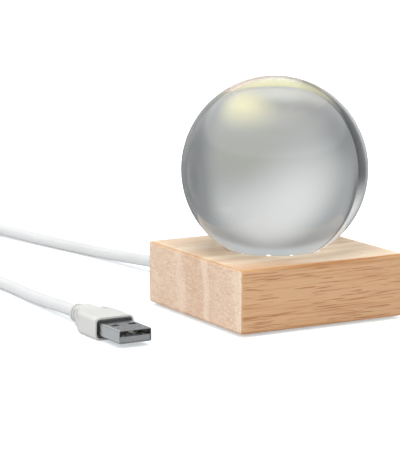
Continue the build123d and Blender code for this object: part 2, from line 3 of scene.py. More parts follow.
import bpy
import numpy as np
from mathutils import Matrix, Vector


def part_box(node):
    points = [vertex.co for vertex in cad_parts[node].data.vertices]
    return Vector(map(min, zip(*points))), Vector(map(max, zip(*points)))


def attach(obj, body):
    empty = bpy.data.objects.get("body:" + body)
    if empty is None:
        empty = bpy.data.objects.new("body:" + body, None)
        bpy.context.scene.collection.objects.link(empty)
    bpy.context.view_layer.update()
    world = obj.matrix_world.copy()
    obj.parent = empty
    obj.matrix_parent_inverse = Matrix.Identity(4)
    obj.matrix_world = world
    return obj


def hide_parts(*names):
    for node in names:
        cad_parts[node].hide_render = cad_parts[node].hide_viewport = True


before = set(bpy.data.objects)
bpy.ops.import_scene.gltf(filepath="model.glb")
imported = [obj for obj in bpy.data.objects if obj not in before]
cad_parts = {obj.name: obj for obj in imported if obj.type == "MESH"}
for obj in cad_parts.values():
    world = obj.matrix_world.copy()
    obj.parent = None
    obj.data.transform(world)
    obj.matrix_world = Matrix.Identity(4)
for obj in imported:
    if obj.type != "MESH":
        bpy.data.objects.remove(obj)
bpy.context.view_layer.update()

bl_info = {
    "name": "Crystal ball lamp",
    "version": (1, 0, 0),
    "blender": (4, 5, 0),
    "location": "View3D > Sidebar > Ball lamp",
    "description": "Dresses a ball lamp: glass ball, wooden block, light, cable and plug",
    "category": "Object",
}

MILLIMETRES = 1000.0  # in a metre

# The block and the ball as the frame holds them
BLOCK_LOW, BLOCK_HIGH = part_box("wood_base")
BALL_LOW, BALL_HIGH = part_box("crystal_ball")
BALL_RADIUS = (BALL_HIGH.x - BALL_LOW.x) / 2
BALL_CENTRE = (BALL_LOW + BALL_HIGH) / 2
BLOCK_MIDDLE = (BLOCK_LOW + BLOCK_HIGH) / 2

# Route of the cable outside the block, from the grommet to the coil and from the coil to the plug
GROMMET_EXIT = (0.0, 0.0325, 0.0068)
LEAD_ROUTE = [
    GROMMET_EXIT,
    (0.0, 0.0500, 0.0068),
    (-0.0030, 0.0760, 0.0049),
    (-0.0058, 0.1030, 0.0032),
    (-0.0096, 0.1310, 0.0023),
    (-0.0156, 0.1600, 0.0024),
]
TAIL_ROUTE = [
    (-0.0784, 0.1480, 0.0057),
    (-0.0719, 0.1240, 0.0031),
    (-0.0674, 0.1000, 0.0023),
    (-0.0664, 0.0760, 0.00225),
    (-0.0678, 0.0510, 0.0023),
    (-0.0690, 0.0275, 0.0038),
    (-0.0690, 0.0154, 0.0038),
]
# Points of the route in line with the coil's ends, by their distances from its first and last point
COIL_ENTRY = (0.0284, 0.0044)
COIL_EXIT = (0.0044, 0.0244)
COIL_POINTS = 6  # in each quarter turn

# The tie round the coil
TIE_GAP = 0.0005  # beside and over the coil
TIE_GAP_BELOW = 0.0001
TIE_CORNER = 0.0024  # inner radius
TIE_POINTS = 240  # along its centre line
TIE_STEP_UP = 4.0  # thicknesses of length in which its end steps up onto its start
THREAD_PAIR = 0.001  # length of two threads of its weave

# The floor
FLOOR_REACH = 12.0
FLOOR_FADE = (0.15, 0.60)  # distances between which its glow grows to the far value
FLOOR_FAR_GLOW = 0.90

# The small lamp in the well
WELL_LAMP_RADIUS = 0.002
WELL_LAMP_RISE = 0.0025  # over the diodes

# Metal: its scratches, and a painted highlight along its edges, which shows where the rounded and the
# true normal part
SCRATCH_RELIEF = 0.000004
HIGHLIGHT_SAMPLES = 6
HIGHLIGHT_COSINES = (0.995, 0.90)  # between the two normals, where the edge begins and where it is full
# Colour of the painted highlight along metal edges
PAINTED_HIGHLIGHT_COLOUR = (0.95, 0.96, 0.97)
HIGHLIGHT_ROUGHNESS = -0.05  # added to the metal's

# How brown the wood is across its growth, as place from the tree's centre outwards and depth, and
# the millimetres of growth that these places cover, about the middle of the block
WOOD_FIGURE = [
    (0.000, 0.44),
    (0.100, 0.36),
    (0.220, 0.42),
    (0.320, 0.38),
    (0.360, 0.16),
    (0.380, 0.18),
    (0.420, 0.50),
    (0.500, 0.57),
    (0.585, 0.50),
    (0.612, 0.10),
    (0.630, 0.10),
    (0.660, 0.44),
    (0.750, 0.40),
    (0.875, 0.42),
    (0.905, 0.20),
    (0.965, 0.20),
    (0.985, 0.45),
    (1.000, 0.50),
]
WOOD_FIGURE_SPAN = 70.0

# Lamps: name, azimuth and elevation in degrees, distance and size in metres, power in watts, and
# whether glass shows the lamp
LAMPS = [
    ("top_lamp", -60.0, 84.0, 1.2, 1.0, 11.3, True),
    ("left_lamp", -100.0, 30.0, 1.3, 1.0, 5.5, False),
    ("right_lamp", 170.0, 30.0, 1.3, 1.0, 4.9, False),
]

# The studio that glass shows, in degrees: the azimuth of its front wall's middle, and soft patches on
# each of its two walls, every one over those before it. A patch has its centre, from the wall's
# middle and the horizon, its reach, softness, turn and colour. The last three are small lights
FRONT_WALL = 38.0
WALL_PATCHES = [
    ((-50.0, -26.0), (32.0, 24.0), 0.9, 0.0, (0.25, 0.26, 0.27)),
    ((-60.0, 4.0), (16.0, 40.0), 0.9, 0.0, (0.22, 0.225, 0.23)),
    ((0.0, -30.0), (42.0, 16.0), 0.9, 0.0, (0.50, 0.505, 0.485)),
    ((8.0, -14.0), (32.0, 20.0), 0.9, 0.0, (0.40, 0.415, 0.38)),
    ((8.0, 12.0), (26.0, 22.0), 0.9, 0.0, (0.58, 0.59, 0.59)),
    ((50.0, 0.0), (34.0, 48.0), 0.85, 0.0, (0.105, 0.113, 0.117)),
    ((-13.0, 8.0), (42.0, 26.0), 0.9, 50.0, (0.74, 0.75, 0.75)),
    ((-6.0, -50.0), (58.0, 14.0), 0.9, 0.0, (0.74, 0.76, 0.71)),
    ((15.0, -41.0), (30.0, 17.0), 0.95, -24.0, (0.93, 0.90, 0.62)),
    ((-2.0, 49.0), (2.8, 2.2), 0.8, 0.0, (2.6, 2.5, 2.3)),
    ((-22.0, 50.5), (2.5, 2.0), 0.8, 0.0, (2.2, 2.1, 2.0)),
    ((26.0, 54.0), (3.0, 2.4), 0.8, 0.0, (1.5, 1.4, 1.3)),
]


def colour_setting(name, description, default):
    """A colour that the panel shows."""
    return bpy.props.FloatVectorProperty(
        name=name, description=description, default=default, size=3, subtype="COLOR"
    )


def length_setting(name, description, default):
    """A length that the panel shows, in metres."""
    return bpy.props.FloatProperty(
        name=name, description=description, default=default, precision=4, unit="LENGTH"
    )


def place_setting(name, description, default, subtype="NONE"):
    """A place that the panel shows, by its two or three coordinates in metres."""
    return bpy.props.FloatVectorProperty(
        name=name,
        description=description,
        default=default,
        size=len(default),
        precision=4,
        subtype=subtype,
        unit="LENGTH",
    )


def angle_setting(name, description, degrees):
    """An angle that the panel shows."""
    return bpy.props.FloatProperty(
        name=name, description=description, default=math.radians(degrees), unit="ROTATION"
    )


class StageSettings(bpy.types.PropertyGroup):
    """Camera, floor and even light."""

    camera_target: place_setting(
        "Camera target",
        "Point that the camera looks at",
        (-0.022905, 0.012136, 0.029578),
        "XYZ",
    )
    camera_azimuth: angle_setting(
        "Camera azimuth",
        "Angle of the camera round the lamp; 0 looks along +Y",
        -29.42,
    )
    camera_elevation: angle_setting("Camera elevation", "Angle of the camera above the horizon", 9.842)
    camera_distance: length_setting("Camera distance", "From the camera to its target", 0.7977)
    camera_lens: bpy.props.FloatProperty(
        name="Focal length",
        description="Focal length in millimetres on a 36 mm sensor",
        default=180.2,
        unit="CAMERA",
    )
    floor_colour: colour_setting("Floor colour", "Colour of the floor", (0.86, 0.86, 0.86))
    shade_colour: colour_setting(
        "Shade",
        "Colour that the floor shows the camera under its glow, seen only in shadows",
        (0.76, 0.82, 0.86),
    )
    floor_glow: bpy.props.FloatProperty(
        name="Floor glow",
        description="How much white the camera sees on the floor by the lamp beside its lit colour",
        default=0.42,
        subtype="FACTOR",
    )
    fill_strength: bpy.props.FloatProperty(
        name="Fill",
        description="Strength of the even light from all round",
        default=0.50,
        min=0,
    )


class GlassSettings(bpy.types.PropertyGroup):
    """Glass ball."""

    refraction: bpy.props.FloatProperty(
        name="Index of refraction",
        description="How strongly the glass bends light",
        default=1.50,
        min=1,
    )
    tint: colour_setting("Tint", "Colour of the glass", (0.985, 0.99, 0.985))
    facets: bpy.props.IntProperty(
        name="Facets",
        description="Faces along each edge of the cube that the ball is rounded from",
        default=72,
        min=8,
    )


class WoodSettings(bpy.types.PropertyGroup):
    """Wooden block."""

    pale: colour_setting("Pale wood", "Colour of the lightest growth", (0.585, 0.362, 0.198))
    brown: colour_setting("Brown wood", "Colour of the darkest growth", (0.45, 0.225, 0.095))
    # The planed colours are the wood's colour with a painted sheen, which makes them paler than the
    # sides'
    planed_pale_with_sheen: colour_setting(
        "Pale planed wood",
        "Colour of the lightest growth on the planed top and underside",
        (0.94, 0.77, 0.58),
    )
    planed_brown_with_sheen: colour_setting(
        "Brown planed wood",
        "Colour of the darkest growth on the planed top and underside",
        (0.70, 0.45, 0.27),
    )
    end_pale: colour_setting("Pale end grain", "Colour of the lightest end grain", (0.808, 0.658, 0.517))
    end_brown: colour_setting("Brown end grain", "Colour of the darkest end grain", (0.621, 0.382, 0.250))
    pore: colour_setting("Pores", "Colour of the open pores", (0.40, 0.13, 0.05))
    ring_centre: place_setting(
        "Tree's centre",
        "Where the growth rings' axis, which runs along X, crosses the YZ plane",
        (0.144, -0.006),
    )


class LightSettings(bpy.types.PropertyGroup):
    """Light-emitting diodes."""

    colour: colour_setting("Light", "Colour of the light", (1.0, 0.86, 0.50))
    glow: bpy.props.FloatProperty(
        name="Glow",
        description="How bright the phosphor looks; 1 is white paper",
        default=1.25,
        min=0,
    )
    well_power: bpy.props.FloatProperty(
        name="Power in the well",
        description="Power of the lamp that lights the well",
        default=0.0003,
        precision=4,
        min=0,
        unit="POWER",
    )


class CableSettings(bpy.types.PropertyGroup):
    """Cable, its coil and the tie."""

    diameter: length_setting("Diameter", "Thickness of the cable", 0.0044)
    length: length_setting("Length", "Length of the cable outside the block", 1.2)
    coil_centre: place_setting("Coil centre", "Middle of the coil on the floor", (-0.0644, 0.2046))
    coil_middle_radius: length_setting("Coil radius", "Radius at the middle of the turns", 0.0242)
    coil_pitch: length_setting("Pitch", "From one turn to the next", 0.0049)
    coil_quarter_turns: bpy.props.IntProperty(
        name="Quarter turns",
        description="Quarter turns of the whole winding",
        default=22,
        min=4,
    )
    coil_start: angle_setting("Start bearing", "Bearing of the winding's lower end", 20.0)
    coil_level: length_setting("Coil level", "Height of the lower layer's centre line", 0.0030)
    tie_width: length_setting("Tie width", "Width of the woven strap round the coil", 0.005)
    tie_thickness: length_setting("Tie thickness", "Thickness of the woven strap", 0.0007)
    tie_overlap: length_setting("Tie overlap", "How far the strap's end lies on its start", 0.008)
    jacket: colour_setting("Jacket", "Colour of the cable's jacket", (0.66, 0.665, 0.67))


class PlugSettings(bpy.types.PropertyGroup):
    """Plug."""

    body: colour_setting("Body", "Colour of the moulded body", (0.60, 0.60, 0.585))
    shell: colour_setting("Shell", "Colour of the plated shell", (0.48, 0.50, 0.51))
    tongue: colour_setting("Tongue", "Colour of the insulating tongue", (0.24, 0.25, 0.26))


def settings(group):
    """One of the scene's property groups, by the name it is registered under."""
    return getattr(bpy.context.scene, group)


class Net:
    """A short way to write a node tree. Each call adds its nodes and returns what they put out, and an
    input may be another node's output, a number, a vector or a colour."""

    def __init__(self, tree):
        self.tree = tree

    def feed(self, socket, value):
        """Link an output to a socket, or set the socket's own value."""
        if isinstance(value, bpy.types.NodeSocket):
            self.tree.links.new(value, socket)
        elif socket.type == "RGBA" and len(value) == 3:
            socket.default_value = (*value, 1.0)
        else:
            socket.default_value = value

    def add(self, kind, output=0, inputs=None, **fixed):
        """Add a node with its fixed settings and its inputs, and return one of its outputs."""
        node = self.tree.nodes.new(kind)
        for name, value in fixed.items():
            setattr(node, name, value)
        for place, value in (inputs or {}).items():
            self.feed(node.inputs[place], value)
        return node.outputs[output]

    def place(self, socket="Object"):
        """Object coordinates, or another output of Texture Coordinate."""
        return self.add("ShaderNodeTexCoord", socket)

    def maths(self, operation, *values):
        """Scalar arithmetic."""
        return self.add("ShaderNodeMath", inputs=dict(enumerate(values)), operation=operation)

    def plus(self, base, value, gain, shift):
        """A base plus a value that is first scaled by a gain and shifted."""
        return self.maths("ADD", base, self.maths("MULTIPLY_ADD", value, gain, shift))

    def vector(self, operation, *values, output=0):
        """Vector arithmetic; the output of a dot product or a length is 1."""
        return self.add("ShaderNodeVectorMath", output, dict(enumerate(values)), operation=operation)

    def scaled(self, vector, scale):
        """A vector times another, axis by axis."""
        return self.vector("MULTIPLY", vector, scale)

    def parts(self, vector):
        """The three parts of a vector."""
        x = self.add("ShaderNodeSeparateXYZ", inputs={0: vector})
        return x, x.node.outputs[1], x.node.outputs[2]

    def noise(self, vector, scale, detail=2.0, roughness=0.5, distortion=0.0):
        """Soft noise from 0 to 1 about a half."""
        inputs = {
            "Vector": vector,
            "Scale": scale,
            "Detail": detail,
            "Roughness": roughness,
            "Distortion": distortion,
        }
        return self.add("ShaderNodeTexNoise", 0, inputs)

    def step(self, value, low, high, start=0.0, end=1.0):
        """A smooth step from start to end as value goes from low to high."""
        inputs = {"Value": value, "From Min": low, "From Max": high, "To Min": start, "To Max": end}
        return self.add("ShaderNodeMapRange", 0, inputs, interpolation_type="SMOOTHSTEP")

    def ramp(self, value, stops):
        """A curve through (place, height) stops."""
        output = self.add("ShaderNodeValToRGB", 0, {0: value})
        elements = output.node.color_ramp.elements
        while len(elements) < len(stops):
            elements.new(1.0)
        for element, (place, height) in zip(elements, stops):
            element.position = place
            element.color = (height, height, height, 1.0)
        return output

    def blend(self, factor, first, second):
        """Mix two colours."""
        inputs = {0: factor, 6: first, 7: second}
        return self.add("ShaderNodeMix", 2, inputs, data_type="RGBA")

    def bump(self, height, distance):
        """A normal from a height; distance is the relief's depth in metres."""
        return self.add("ShaderNodeBump", 0, {"Height": height, "Distance": distance})

    def group(self, name, inputs):
        """Place a shared node group with its own values, and return its outputs."""
        tree = bpy.data.node_groups[name]
        return self.add("ShaderNodeGroup", 0, inputs, node_tree=tree).node.outputs


def node_group(name, inputs, outputs, build):
    """A shared effect: inputs are (name, socket type, default), outputs are (name, socket type), and
    build(net, start) returns one value for each output."""
    tree = bpy.data.node_groups.new(name, "ShaderNodeTree")
    for label, kind, default in inputs:
        socket = tree.interface.new_socket(label, in_out="INPUT", socket_type=kind)
        if default is not None:
            socket.default_value = default
    for label, kind in outputs:
        tree.interface.new_socket(label, in_out="OUTPUT", socket_type=kind)
    net = Net(tree)
    start = tree.nodes.new("NodeGroupInput").outputs
    end = tree.nodes.new("NodeGroupOutput").inputs
    for (label, _), value in zip(outputs, build(net, start)):
        net.feed(end[label], value)


def build_moulded_skin(net, start):
    """Moulded plastic or rubber: the colour drifts a little in clouds, and fine grains roughen it."""
    point = start["Vector"]
    clouds = net.noise(point, 60.0, detail=2.0)
    grains = net.noise(point, start["Grain scale"], detail=3.0, roughness=0.6)
    deep = net.vector("MULTIPLY", start["Color"], (0.96, 0.96, 0.955))
    colour = net.blend(net.step(clouds, 0.35, 0.65), deep, start["Color"])
    rough = net.maths("MULTIPLY_ADD", net.maths("SUBTRACT", grains, 0.5), 0.25, start["Roughness"])
    return colour, rough, grains


def build_drawn_metal(net, start):
    """Drawn metal: fine scratches along one axis, over faint blotches of polish."""
    along = net.scaled(start["Vector"], start["Stretch"])
    scratches = net.noise(along, 9000.0, detail=2.0, roughness=0.7)
    blotches = net.noise(start["Vector"], 500.0, detail=2.0)
    deep = net.vector("MULTIPLY", start["Color"], (0.80, 0.80, 0.80))
    colour = net.blend(net.step(scratches, 0.35, 0.62), deep, start["Color"])
    rough = net.maths("MULTIPLY_ADD", net.maths("SUBTRACT", blotches, 0.5), 0.30, start["Roughness"])
    return colour, rough, scratches


def make_groups():
    """All shared effects."""
    colour = ("Color", "NodeSocketColor", (0.8, 0.8, 0.8, 1.0))
    rough = ("Roughness", "NodeSocketFloat", 0.5)
    vector = ("Vector", "NodeSocketVector", None)
    results = [
        ("Color", "NodeSocketColor"),
        ("Roughness", "NodeSocketFloat"),
        ("Height", "NodeSocketFloat"),
    ]
    grain = ("Grain scale", "NodeSocketFloat", 2500.0)
    node_group("moulded_skin", [vector, colour, rough, grain], results, build_moulded_skin)
    stretch = ("Stretch", "NodeSocketVector", (1.0, 0.05, 1.0))
    node_group("drawn_metal", [vector, colour, rough, stretch], results, build_drawn_metal)


def new_material(name, **constants):
    """A material with one Principled BSDF, whose plain values are set on its own sockets. Returns
    the material, its net and the shader's inputs."""
    material = bpy.data.materials.new(name)
    material.use_nodes = True
    shader = material.node_tree.nodes["Principled BSDF"]
    for socket, value in constants.items():
        shader.inputs[socket.replace("_", " ")].default_value = value
    return material, Net(material.node_tree), shader.inputs


def dress(node, material):
    """Give a CAD node's object this material alone."""
    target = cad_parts[node]
    target.data.materials.clear()
    target.data.materials.append(material)


def moulded(name, colour, roughness, grain_scale, relief=0.00001):
    """A moulded plastic or rubber. The grain scale is per metre, and the relief is its depth in
    metres."""
    material, net, shader = new_material(name)
    inputs = {"Vector": net.place(), "Color": colour, "Roughness": roughness, "Grain scale": grain_scale}
    skin = net.group("moulded_skin", inputs)
    net.feed(shader["Base Color"], skin["Color"])
    net.feed(shader["Roughness"], skin["Roughness"])
    net.feed(shader["Normal"], net.bump(skin["Height"], relief))
    return material


def metal(name, colour, roughness, stretch=(1.0, 0.05, 1.0), highlight_width=0.0):
    """A plated or bare metal with drawn scratches. Within the given width in metres of its edges it
    has a painted highlight: its colour is painted bright and it is a little smoother."""
    material, net, shader = new_material(name, Metallic=1.0)
    inputs = {"Vector": net.place(), "Color": colour, "Roughness": roughness, "Stretch": stretch}
    skin = net.group("drawn_metal", inputs)
    tone, rough = skin["Color"], skin["Roughness"]
    # Painted highlight: near the edges the colour is painted bright and the roughness lowered
    if highlight_width:
        rounded = net.add("ShaderNodeBevel", 0, {"Radius": highlight_width}, samples=HIGHLIGHT_SAMPLES)
        straight = net.add("ShaderNodeNewGeometry", "Normal")
        same = net.vector("DOT_PRODUCT", rounded, straight, output=1)
        edge = net.step(same, *HIGHLIGHT_COSINES)
        tone = net.blend(edge, tone, PAINTED_HIGHLIGHT_COLOUR)
        rough = net.maths("MULTIPLY_ADD", edge, HIGHLIGHT_ROUGHNESS, rough)
    net.feed(shader["Base Color"], tone)
    net.feed(shader["Roughness"], rough)
    net.feed(shader["Normal"], net.bump(skin["Height"], SCRATCH_RELIEF))
    return material


def woven_material(name, colour):
    """Woven webbing in a plain weave, on the piece's own map, whose two measures are lengths along
    and across. The crossings stand up and catch the light, and the hollows between them are
    painted darker, a painted shade, with fuzz mixed in as random tone."""
    material, net, shader = new_material(name, Sheen_Weight=0.3, Sheen_Roughness=0.5)
    along, across, _ = net.parts(net.place("UV"))
    angles = [net.maths("MULTIPLY", way, math.tau / THREAD_PAIR) for way in (along, across)]
    threads = [net.maths("SINE", angle) for angle in angles]
    weave = net.maths("MULTIPLY_ADD", net.maths("MULTIPLY", *threads), 0.5, 0.5)
    fuzz = net.noise(net.place(), 2500.0, detail=3.0, roughness=0.7)
    height = net.maths("ADD", weave, net.maths("MULTIPLY", fuzz, 0.6))
    colour = Vector(colour)
    # Painted shade: the colour darkens where the weave is low, with the fuzz adding random tone
    net.feed(shader["Base Color"], net.blend(net.step(height, 0.3, 1.2), colour * 0.62, colour))
    net.feed(shader["Roughness"], net.maths("MULTIPLY_ADD", fuzz, 0.2, 0.72))
    net.feed(shader["Normal"], net.bump(height, 0.00008))
    return material


def wood_material():
    """Pale wood. Growth rings lie round an axis along X, so that the ends of the block show bands
    and the sides and top show streaks along X. The planed top and underside are paler, a painted
    sheen over the wood's colour, and browner towards their front left corner. Pores are thin and
    long along X: dashes on the sides and dots on the ends. The edges are a deeper orange. Places are
    in millimetres."""
    wood = settings("lamp_wood")
    material, net, shader = new_material("pine", Specular_IOR_Level=0.30)
    point = net.scaled(net.place(), (MILLIMETRES,) * 3)

    def grain(scales, detail, roughness=0.5):
        """Soft noise with its own scale per millimetre along X, Y and Z."""
        return net.noise(net.scaled(point, scales), 1.0, detail, roughness)

    # Growth rings, a little wavy
    drift = grain((0.012, 0.05, 0.05), 2.0)
    shift = net.maths("MULTIPLY", net.maths("SUBTRACT", drift, 0.5), 7.0)
    x, y, z = net.parts(point)
    centre_y, centre_z = (MILLIMETRES * value for value in wood.ring_centre)
    middle_z = MILLIMETRES * BLOCK_MIDDLE.z
    across = net.maths("SUBTRACT", y, centre_y)
    up = net.maths("SUBTRACT", z, centre_z)
    squares = net.maths("ADD", net.maths("MULTIPLY", across, across), net.maths("MULTIPLY", up, up))
    ring = net.maths("ADD", net.maths("SQRT", squares), shift)
    middle = math.hypot(centre_y, centre_z - middle_z)
    band = net.maths("MULTIPLY_ADD", net.maths("SUBTRACT", ring, middle), 1 / WOOD_FIGURE_SPAN, 0.5)
    figure = net.ramp(band, WOOD_FIGURE)

    # The sides, which show the grain lengthwise
    fibres = grain((0.035, 1.1, 1.1), 4.0, 0.65)
    veins = grain((0.018, 0.42, 0.42), 2.0)
    tone = net.plus(net.plus(figure, fibres, 2.5, -1.30), veins, 0.6, -0.30)
    long_grain = net.blend(net.step(tone, 0.0, 1.0), wood.pale, wood.brown)

    # The ends
    speckle = grain((0.6, 2.6, 2.2), 3.0, 0.7)
    grains = grain((0.3, 0.30, 1.3), 2.0)
    end_tone = net.plus(net.plus(figure, speckle, 2.0, -1.00), grains, 0.8, -0.40)
    end_grain = net.blend(net.step(end_tone, 0.0, 1.0), wood.end_pale, wood.end_brown)

    # The planed top and underside, paler than the sides by a painted sheen over the wood's colour
    facing = net.parts(net.vector("ABSOLUTE", net.place("Normal")))
    planed_tone = net.plus(net.plus(figure, veins, 0.9, -0.45), fibres, 0.4, -0.20)
    corner = net.maths("MULTIPLY", net.step(band, 0.80, 0.93), net.step(x, 5.0, -20.0))
    planed_tone = net.maths("MULTIPLY_ADD", corner, 0.75, planed_tone)
    planed = net.blend(net.step(planed_tone, 0.0, 1.0), wood.planed_pale_with_sheen, wood.planed_brown_with_sheen)
    long_grain = net.blend(net.step(facing[2], 0.75, 0.97), long_grain, planed)
    end_share = net.step(facing[0], 0.55, 0.85)
    colour = net.blend(end_share, long_grain, end_grain)

    # Pores in loose groups, faintest on the planed faces
    groups = grain((0.03, 0.12, 0.12), 1.0)
    pores = net.step(net.plus(grain((0.09, 3.0, 3.0), 1.5), groups, 0.16, -0.08), 0.61, 0.675)
    planed_share = net.maths("MULTIPLY_ADD", facing[2], -0.37, 0.62)
    pore_share = net.maths("MULTIPLY_ADD", end_share, -0.07, planed_share)
    pore_share = net.maths("MULTIPLY", pores, pore_share)
    colour = net.blend(pore_share, colour, wood.pore)

    # Deeper orange along the upper and lower edges
    level = net.maths("ABSOLUTE", net.maths("SUBTRACT", z, middle_z))
    half_height = MILLIMETRES * (BLOCK_HIGH.z - BLOCK_LOW.z) / 2
    edge_start, edge_full = half_height - 1.4, half_height - 0.3
    side_share = net.step(facing[2], 0.95, 0.75)
    edge = net.maths("MULTIPLY", net.step(level, edge_start, edge_full), side_share)
    orange = net.vector("MULTIPLY", colour, (0.93, 0.74, 0.52))
    colour = net.blend(net.maths("MULTIPLY", edge, 0.6), colour, orange)

    net.feed(shader["Base Color"], colour)
    net.feed(shader["Roughness"], net.maths("MULTIPLY_ADD", fibres, 0.25, 0.36))
    height = net.maths("SUBTRACT", fibres, net.maths("MULTIPLY", pores, 1.5))
    net.feed(shader["Normal"], net.bump(height, 0.00006))
    return material


def glass_material():
    """Clear solid glass with the faintest smears of handling in its polish."""
    glass = settings("lamp_glass")
    material, net, shader = new_material(
        "crystal",
        Base_Color=(*glass.tint, 1.0),
        IOR=glass.refraction,
        Transmission_Weight=1.0,
    )
    smears = net.noise(net.place(), 45.0, detail=3.0, roughness=0.6, distortion=0.6)
    net.feed(shader["Roughness"], net.step(smears, 0.60, 0.85, 0.0, 0.035))
    return material


def glow_material():
    """Yellow phosphor in clear filling, lit; its grains show faintly."""
    light = settings("lamp_light")
    material, net, shader = new_material("phosphor", Roughness=0.25, Emission_Strength=light.glow)
    grains = net.noise(net.place(), 3000.0, detail=3.0, roughness=0.7)
    body = net.blend(grains, (0.90, 0.74, 0.25), (0.98, 0.86, 0.42))
    net.feed(shader["Base Color"], body)
    warm = Vector(light.colour)
    net.feed(shader["Emission Color"], net.blend(grains, warm * 0.92, warm))
    net.feed(shader["Normal"], net.bump(grains, 0.00002))
    return material


def floor_material():
    """Pale floor. The camera sees it whiter than it is lit, and whiter still far away, with a cool
    shade."""
    stage = settings("lamp_stage")
    material, net, shader = new_material("studio_floor", Roughness=0.85, Specular_IOR_Level=0.2)
    grain = net.noise(net.place(), 400.0, detail=3.0)
    colour = Vector(stage.floor_colour)
    lit = net.blend(grain, colour * 0.985, colour)
    camera = net.add("ShaderNodeLightPath", "Is Camera Ray")
    net.feed(shader["Base Color"], net.blend(camera, lit, stage.shade_colour))
    away = net.vector("LENGTH", net.place(), output=1)
    glow = net.step(away, *FLOOR_FADE, stage.floor_glow, FLOOR_FAR_GLOW)
    net.feed(shader["Emission Color"], (1.0, 1.0, 1.0))
    net.feed(shader["Emission Strength"], net.maths("MULTIPLY", camera, glow))
    return material


def direction(azimuth, elevation):
    """A direction from its azimuth, from +Y towards +X, and its elevation, both in degrees."""
    a, e = math.radians(azimuth), math.radians(elevation)
    return (math.sin(a) * math.cos(e), math.cos(a) * math.cos(e), math.sin(e))


def ellipse(net, point, centre, reach, softness, turn=0.0):
    """How much of a soft ellipse lies at a flat point, in degrees: 1 in its core and 0 past its reach.
    The softness is the share of the reach over which it fades."""
    moved = net.vector("SUBTRACT", point, (*centre, 0.0))
    turned = net.add("ShaderNodeVectorRotate", 0, {"Vector": moved, "Angle": -math.radians(turn)})
    size = net.vector("LENGTH", net.vector("DIVIDE", turned, (*reach, 1.0)), output=1)
    return net.step(size, 1.0, 1.0 - softness)


def studio_panel(net, along, up):
    """The grey panel on each of the studio's two walls, paler at its top, with its soft patches."""
    point = net.add("ShaderNodeCombineXYZ", 0, {0: along, 1: up})
    panel = net.blend(net.step(up, 22.0, 31.0), (0.37, 0.38, 0.385), (0.33, 0.34, 0.345))
    panel = net.blend(net.step(up, 33.0, 42.0), panel, (0.50, 0.55, 0.58))
    for centre, reach, softness, turn, colour in WALL_PATCHES:
        panel = net.blend(ellipse(net, point, centre, reach, softness, turn), panel, colour)
    return panel


def studio_stripes(net, along, up, away, left):
    """What shows outside a panel: dark stripes, of which the left one has a white strip and a pale
    head, over a floor that shines yellow."""
    gap = net.maths("MAXIMUM", net.maths("SUBTRACT", 90.0, away), 0.0)
    stripes = net.blend(net.step(gap, 26.5, 15.0), (0.02, 0.025, 0.03), (0.11, 0.12, 0.125))
    stripes = net.blend(left, (0.14, 0.15, 0.155), stripes)
    strip = net.maths("MULTIPLY", net.step(gap, 22.0, 8.0), left)
    stripes = net.blend(strip, stripes, (0.98, 0.98, 0.99))
    raised = net.maths("MULTIPLY", net.step(up, -2.0, 20.0), left)
    stripes = net.blend(raised, stripes, (0.84, 0.84, 0.84))
    shine = net.blend(net.step(up, -64.0, -84.0), (0.80, 0.79, 0.45), (0.92, 0.92, 0.76))
    spread = net.step(net.maths("ABSOLUTE", net.maths("ADD", along, 4.0)), 80.0, 15.0, 0.35, 1.0)
    return net.blend(net.maths("MULTIPLY", net.step(up, -38.0, -62.0), spread), stripes, shine)


def studio_picture(net):
    """The grey studio that glass shows, by azimuth and elevation in degrees. Two like walls face each
    other. Each is a tall grey panel with a pale glow, a dim side and a warm foot, over a floor that
    shines yellow. At the front wall's sides stand dark stripes, the left one with a white strip."""
    x, y, z = net.parts(net.place("Generated"))
    azimuth = net.maths("DEGREES", net.maths("ARCTAN2", x, y))
    up = net.maths("DEGREES", net.maths("ARCSINE", z))
    side = net.maths("WRAP", net.maths("SUBTRACT", azimuth, FRONT_WALL), 180.0, -180.0)
    along = net.maths("WRAP", side, 90.0, -90.0)
    panel = studio_panel(net, along, up)

    # The stripes stand on the front wall's edges and fade out behind them
    away = net.maths("ABSOLUTE", net.maths("ADD", side, 6.0))
    front = net.step(away, 128.0, 88.0)
    left = net.step(side, 15.0, -15.0)
    stripes = studio_stripes(net, along, up, away, left)

    # The panel's outline is nearly a box, with a dark line inside its left edge
    sides = net.maths("POWER", net.maths("DIVIDE", net.maths("ABSOLUTE", along), 58.0), 4.0)
    foot = net.maths("DIVIDE", net.maths("MINIMUM", net.maths("ADD", up, 8.0), 0.0), -50.0)
    foot = net.maths("POWER", foot, 4.0)
    outline = net.maths("ADD", sides, foot)
    line = net.maths("MULTIPLY", net.step(outline, 0.60, 0.82), net.step(up, -6.0, 8.0))
    line = net.maths("MULTIPLY", line, net.maths("MULTIPLY", left, front))
    panel = net.blend(line, panel, (0.12, 0.125, 0.13))
    outside = net.maths("MULTIPLY", net.step(outline, 0.94, 1.10), front)
    outside = net.maths("MAXIMUM", outside, net.step(foot, 0.94, 1.10))
    return net.blend(outside, panel, stripes)


